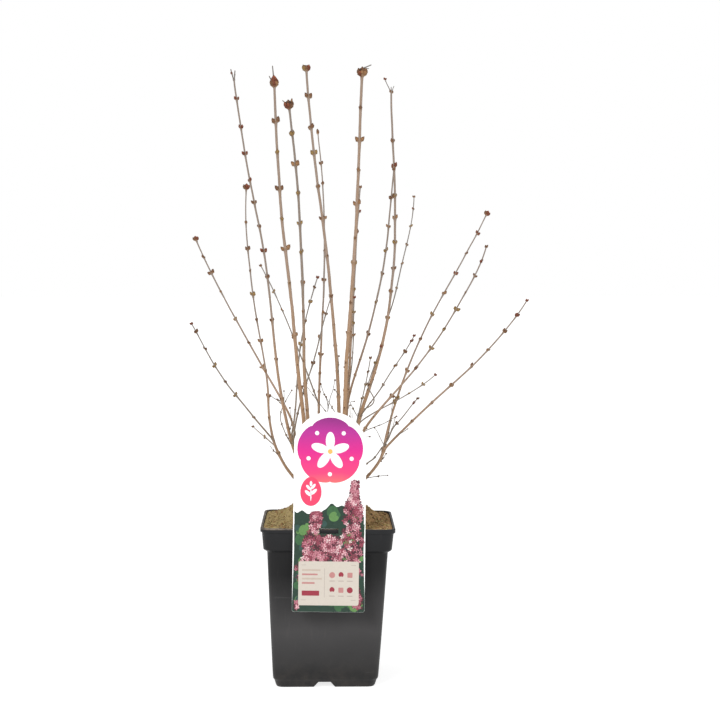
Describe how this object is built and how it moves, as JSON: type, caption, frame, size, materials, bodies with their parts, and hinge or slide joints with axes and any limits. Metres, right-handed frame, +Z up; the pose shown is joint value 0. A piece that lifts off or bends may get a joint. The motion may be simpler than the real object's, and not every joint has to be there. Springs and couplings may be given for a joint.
{
  "type": "potted lilac bush in winter, without leaves",
  "caption": "Young multi-stemmed lilac bush, leafless with paired buds, standing in a square black nursery pot filled with peat soil, with a plain hang tag on the rim.",
  "frame": {"origin": "centre of the pot's flat underside", "axes": "+Z up along the plant; -Y towards the side where the tag hangs; +X to the right seen from that side"},
  "size_m": [0.4911, 0.3714, 0.8996],
  "materials": {
    "pot_plastic": "satin moulded recycled plastic",
    "soil": "crumbly moist peat",
    "tag_card": "smooth printed plastic card",
    "bark_old": "rough old bark",
    "bark_stem": "smooth young bark with lenticels",
    "bark_twig": "thin bark"
  },
  "bodies": {
    "root": {"pot": "pot_plastic", "soil": "soil", "tag": "tag_card", "tag_hook": "tag_card", "stool_left": "bark_old", "stool_right": "bark_old", "stem_left_tall": "bark_stem", "stem_left_front": "bark_stem", "stem_centre_left": "bark_stem", "stem_centre_front": "bark_stem", "stem_centre_slim": "bark_stem", "stem_centre_back": "bark_stem", "stem_right_thick": "bark_stem", "stem_right_back": "bark_stem", "stem_right_tall": "bark_stem", "bough_right_back": "bark_stem", "bough_right_front": "bark_stem", "bough_right_low": "bark_stem", "branch_left_back": "bark_twig", "branch_left_low": "bark_twig", "branch_left_spur": "bark_twig", "branch_centre_back": "bark_twig", "branch_centre_front": "bark_twig", "branch_centre_cross": "bark_twig", "branch_right_front": "bark_twig", "branch_right_short": "bark_twig", "branch_right_side": "bark_twig", "branch_right_high": "bark_twig", "branch_low_front": "bark_twig", "branch_right_fan": "bark_twig", "branch_right_level": "bark_twig", "branch_right_fork": "bark_twig"}
  },
  "joints": []
}
